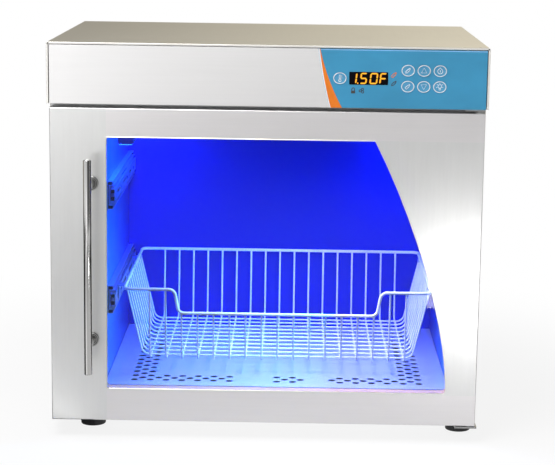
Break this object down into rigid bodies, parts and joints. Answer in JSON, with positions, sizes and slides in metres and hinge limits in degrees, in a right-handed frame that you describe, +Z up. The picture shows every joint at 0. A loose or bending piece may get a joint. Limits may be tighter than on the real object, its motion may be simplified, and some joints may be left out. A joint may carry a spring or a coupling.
{
  "type": "fluid warming cabinet",
  "caption": "Countertop stainless warming cabinet for bottled fluids: glazed door hung on the right, blue-lit heated chamber, wire basket on telescopic slides, keypad and display in the head.",
  "frame": {"origin": "middle of the footprint at table level, the footprint running from the front of the door handle to the end of the mains gland", "axes": "+X to the cabinet's right as seen from its front, +Y to the back, +Z up"},
  "size_m": [0.662, 0.542, 0.611],
  "materials": {
    "casing_steel": "satin",
    "panel_steel": "satin",
    "door_steel": "satin",
    "frame_steel": "satin",
    "galvanised_steel": "matte",
    "liner_steel": "satin",
    "insulation_wool": "matte",
    "heater_cable": "satin",
    "floor_steel": "satin",
    "lamp_aluminium": "satin",
    "lamp_lens": "matte",
    "probe_steel": "polished",
    "thermostat_plastic": "matte",
    "slide_steel": "satin",
    "slide_plastic": "matte",
    "ball_cage": "polished",
    "basket_coating": "gloss",
    "window_glass": "gloss",
    "spacer_aluminium": "satin",
    "seal_rubber": "matte",
    "gasket_silicone": "matte",
    "door_board": "matte",
    "handle_steel": "polished",
    "screw_steel": "satin",
    "hinge_steel": "satin",
    "bush_plastic": "satin",
    "magnet_plastic": "matte",
    "overlay_film": "satin",
    "key_film": "satin",
    "display_lens": "gloss",
    "display_body": "matte",
    "circuit_board": "satin",
    "gland_plastic": "satin",
    "foot_rubber": "matte"
  },
  "bodies": {
    "cabinet": {"outer_wrap": "casing_steel", "head_front_panel": "panel_steel", "front_frame": "frame_steel", "back_panel": "galvanised_steel", "base_pan": "galvanised_steel", "electronics_tray": "galvanised_steel", "chamber_liner": "liner_steel", "chamber_insulation": "insulation_wool", "heating_cable": "heater_cable", "floor_plate": "floor_steel", "lamp_housings": "lamp_aluminium", "lamp_lenses": "lamp_lens", "temperature_probe": "probe_steel", "limit_thermostat": "thermostat_plastic", "upper_slide_outer_members": "slide_steel", "upper_slide_middle_members": "slide_steel", "upper_slide_inner_members": "slide_steel", "upper_slide_ball_cages": "ball_cage", "lower_slide_outer_members": "slide_steel", "slide_end_stops": "slide_plastic", "hinge_brackets": "hinge_steel", "magnetic_catch": "magnet_plastic", "control_overlay": "overlay_film", "display_window": "display_lens", "display_module": "display_body", "control_board": "circuit_board", "power_board": "circuit_board", "power_inlet_gland": "gland_plastic", "rubber_feet": "foot_rubber", "foot_screws": "screw_steel", "casing_screws": "screw_steel"},
    "door": {"door_outer_skin": "door_steel", "door_inner_pan": "frame_steel", "door_core": "door_board", "window_pane_outer": "window_glass", "window_pane_inner": "window_glass", "pane_spacer": "spacer_aluminium", "window_seals": "seal_rubber", "door_gasket": "gasket_silicone", "handle_bar": "handle_steel", "handle_posts": "handle_steel", "handle_screws": "screw_steel", "hinge_blocks": "hinge_steel", "hinge_bushes": "bush_plastic", "strike_plate": "hinge_steel"},
    "basket": {"basket_rim": "basket_coating", "basket_long_wires": "basket_coating", "basket_cross_wires": "basket_coating", "basket_brackets": "slide_steel", "lower_slide_inner_members": "slide_steel"},
    "slide_middle": {"lower_slide_middle_members": "slide_steel"},
    "outer_cages": {"lower_slide_outer_cages": "ball_cage"},
    "inner_cages": {"lower_slide_inner_cages": "ball_cage"},
    "key_display_body": {"key_display": "key_film"},
    "key_bottle_body": {"key_bottle": "key_film"},
    "key_up_body": {"key_up": "key_film"},
    "key_power_body": {"key_power": "key_film"},
    "key_bag_body": {"key_bag": "key_film"},
    "key_down_body": {"key_down": "key_film"},
    "key_light_body": {"key_light": "key_film"}
  },
  "joints": [
    {"name": "door_hinge", "type": "hinge", "parent": "cabinet", "child": "door", "pos_m": [0.319, -0.201, 0.27], "axis": [0, 0, 1], "range_deg": [0, 180]},
    {"name": "basket_run", "type": "slide", "parent": "cabinet", "child": "basket", "axis": [0, -1, 0], "range_m": [0, 0.25]},
    {"name": "slide_middle_run", "type": "slide", "parent": "cabinet", "child": "slide_middle", "axis": [0, -1, 0], "range_m": [0, 0.125]},
    {"name": "outer_cage_run", "type": "slide", "parent": "cabinet", "child": "outer_cages", "axis": [0, -1, 0], "range_m": [0, 0.0625]},
    {"name": "inner_cage_run", "type": "slide", "parent": "cabinet", "child": "inner_cages", "axis": [0, -1, 0], "range_m": [0, 0.1875]},
    {"name": "press_display", "type": "slide", "parent": "cabinet", "child": "key_display_body", "axis": [0, 1, 0], "range_m": [0, 0.0004], "stiffness_N_per_m": 300},
    {"name": "press_bottle", "type": "slide", "parent": "cabinet", "child": "key_bottle_body", "axis": [0, 1, 0], "range_m": [0, 0.0004], "stiffness_N_per_m": 300},
    {"name": "press_up", "type": "slide", "parent": "cabinet", "child": "key_up_body", "axis": [0, 1, 0], "range_m": [0, 0.0004], "stiffness_N_per_m": 300},
    {"name": "press_power", "type": "slide", "parent": "cabinet", "child": "key_power_body", "axis": [0, 1, 0], "range_m": [0, 0.0004], "stiffness_N_per_m": 300},
    {"name": "press_bag", "type": "slide", "parent": "cabinet", "child": "key_bag_body", "axis": [0, 1, 0], "range_m": [0, 0.0004], "stiffness_N_per_m": 300},
    {"name": "press_down", "type": "slide", "parent": "cabinet", "child": "key_down_body", "axis": [0, 1, 0], "range_m": [0, 0.0004], "stiffness_N_per_m": 300},
    {"name": "press_light", "type": "slide", "parent": "cabinet", "child": "key_light_body", "axis": [0, 1, 0], "range_m": [0, 0.0004], "stiffness_N_per_m": 300}
  ],
  "couplings": [
    {"joint": "basket_run", "follows": "door_hinge", "m_per_rad": 0.0795},
    {"joint": "slide_middle_run", "follows": "door_hinge", "m_per_rad": 0.03975},
    {"joint": "outer_cage_run", "follows": "door_hinge", "m_per_rad": 0.019875},
    {"joint": "inner_cage_run", "follows": "door_hinge", "m_per_rad": 0.059625}
  ]
}
